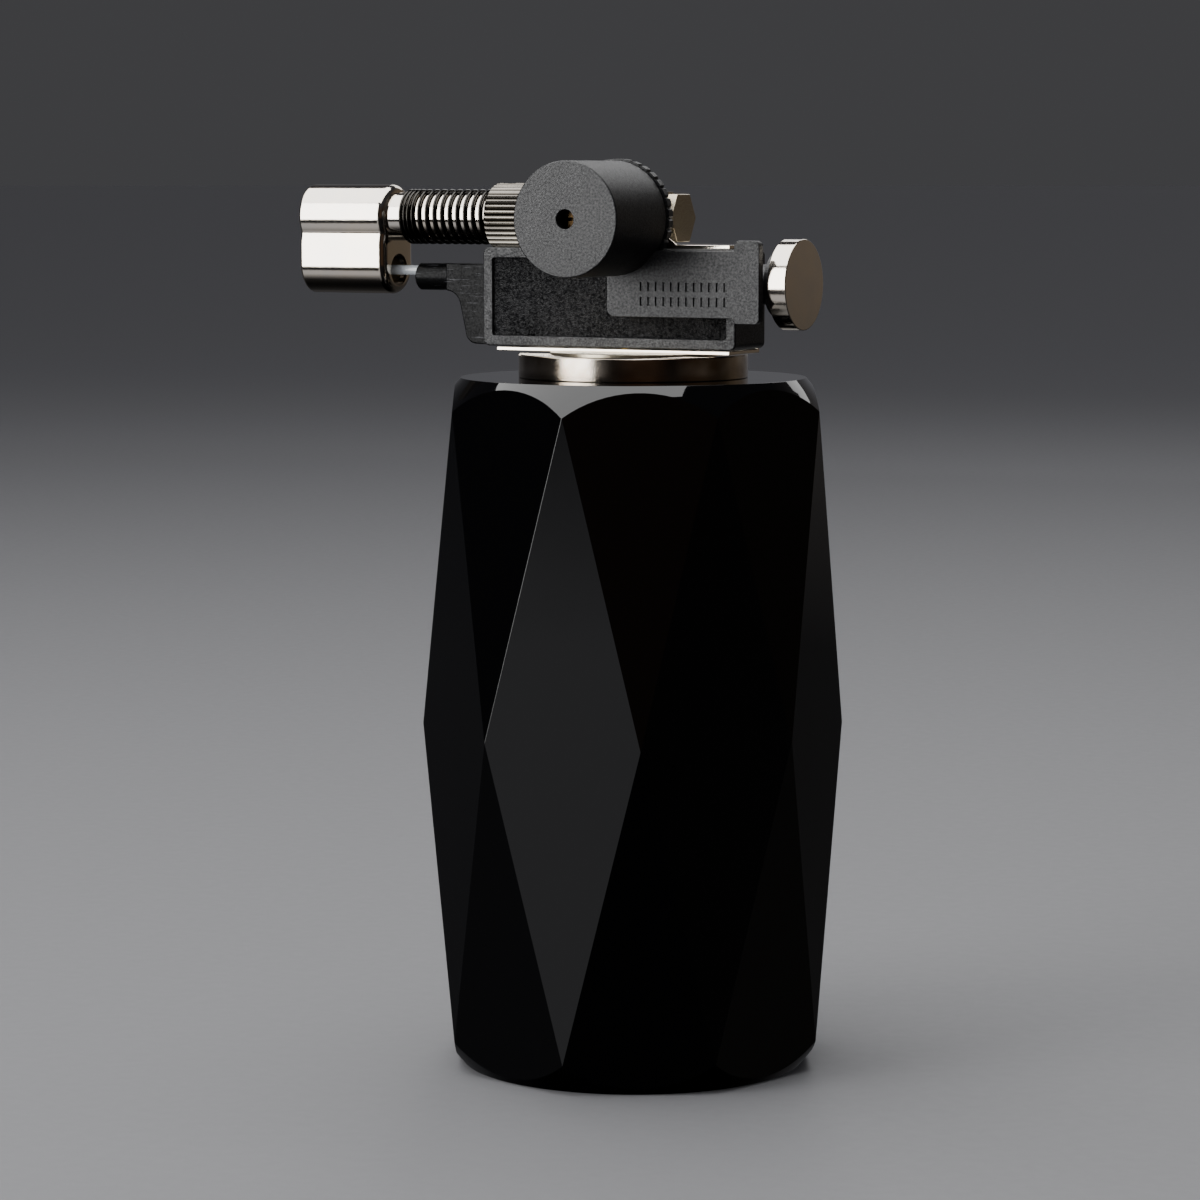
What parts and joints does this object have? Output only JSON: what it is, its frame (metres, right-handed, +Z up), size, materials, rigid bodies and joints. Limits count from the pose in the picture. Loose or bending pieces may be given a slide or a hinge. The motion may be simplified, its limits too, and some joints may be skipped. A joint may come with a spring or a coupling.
{
  "type": "butane torch",
  "caption": "Table-top butane torch: faceted black glass body with a lift-out burner insert, side gas knob under a removable stopper and push-button igniter.",
  "frame": {"origin": "centre of the glass body's flat base", "axes": "+Z up along the glass body's axis; the burner points to -X, the gas knob and stopper to -Y, the igniter button to +X"},
  "size_m": [0.0833, 0.0588, 0.1313],
  "materials": {
    "black_glass": "polished opaque black cut glass",
    "tank_metal": "drawn aluminium",
    "brass": "turned brass",
    "nickel": "bright nickel plate",
    "screw_steel": "zinc-plated steel",
    "spring_steel": "spring steel wire",
    "dark_wire": "blackened steel wire",
    "rubber": "black nitrile rubber",
    "black_plastic": "black moulded plastic with a fine grain",
    "cream_plastic": "natural moulded plastic",
    "lead_plastic": "milky silicone insulation",
    "ceramic": "glazed ceramic",
    "copper": "drawn copper tube"
  },
  "bodies": {
    "glass": {"glass_body": "black_glass"},
    "insert": {"fuel_tank": "tank_metal", "tank_lid": "brass", "grip_rings": "rubber", "neck_collar": "nickel", "pickup_tube": "cream_plastic", "fill_valve_body": "brass", "fill_valve_gasket": "rubber", "fill_valve_spring": "spring_steel", "outlet_valve_body": "brass", "outlet_valve_spring": "spring_steel", "gas_riser": "copper", "frame_bracket": "nickel", "frame_screws": "screw_steel", "housing_front": "black_plastic", "housing_rear": "black_plastic", "housing_screws": "screw_steel", "piezo_case": "cream_plastic", "piezo_contact": "brass", "piezo_spring": "spring_steel", "lever_pin": "screw_steel", "lead_conduit": "black_plastic", "ignition_lead": "lead_plastic", "spark_electrode": "spring_steel", "electrode_sleeve": "ceramic", "nozzle_head": "nickel", "flame_plate": "brass", "burner_tube": "nickel", "wire_coil": "dark_wire", "gas_jet": "brass", "valve_block": "nickel", "hex_plug": "nickel", "packing_nut": "nickel", "spindle_seal": "rubber"},
    "fill_stem": {"fill_valve_stem": "brass"},
    "outlet_stem": {"outlet_valve_stem": "brass", "outlet_valve_seal": "rubber"},
    "lever": {"gas_lever": "screw_steel"},
    "button": {"piezo_plunger": "cream_plastic", "button_stem": "black_plastic", "button_cap": "nickel"},
    "knob": {"gas_spindle": "brass", "gas_knob": "black_plastic"},
    "air_ring": {"air_ring": "nickel"},
    "stopper": {"stopper": "black_plastic"}
  },
  "joints": [
    {"name": "insert_lift", "type": "slide", "parent": "glass", "child": "insert", "axis": [0, 0, 1], "range_m": [0, 0.058]},
    {"name": "button_press", "type": "slide", "parent": "insert", "child": "button", "axis": [-1, 0, 0], "range_m": [0, 0.0038], "stiffness_N_per_m": 1500, "springref_m": -0.002, "deforming": ["piezo_spring"]},
    {"name": "lever_tilt", "type": "hinge", "parent": "insert", "child": "lever", "pos_m": [0.0084, 0, 0.1071], "axis": [0, 1, 0], "range_deg": [0, 7.2]},
    {"name": "outlet_lift", "type": "slide", "parent": "insert", "child": "outlet_stem", "axis": [0, 0, 1], "range_m": [0, 0.00112], "stiffness_N_per_m": 300, "springref_m": -0.001, "deforming": ["outlet_valve_spring"]},
    {"name": "fill_stem_press", "type": "slide", "parent": "insert", "child": "fill_stem", "axis": [0, 0, 1], "range_m": [0, 0.0012], "stiffness_N_per_m": 800, "springref_m": -0.001, "deforming": ["fill_valve_spring"]},
    {"name": "gas_knob_turn", "type": "hinge", "parent": "insert", "child": "knob", "pos_m": [0.00063, 0, 0.1229], "axis": [0, -1, 0], "range_deg": [0, 270]},
    {"name": "air_ring_turn", "type": "hinge", "parent": "insert", "child": "air_ring", "pos_m": [-0.0187, 0, 0.1229], "axis": [-1, 0, 0], "range_deg": [0, 90]},
    {"name": "stopper_pull", "type": "slide", "parent": "insert", "child": "stopper", "axis": [0, -1, 0], "range_m": [0, 0.02]}
  ],
  "couplings": [
    {"joint": "lever_tilt", "follows": "button_press", "rad_per_m": 32.151},
    {"joint": "outlet_lift", "follows": "button_press", "ratio": 0.28947}
  ]
}
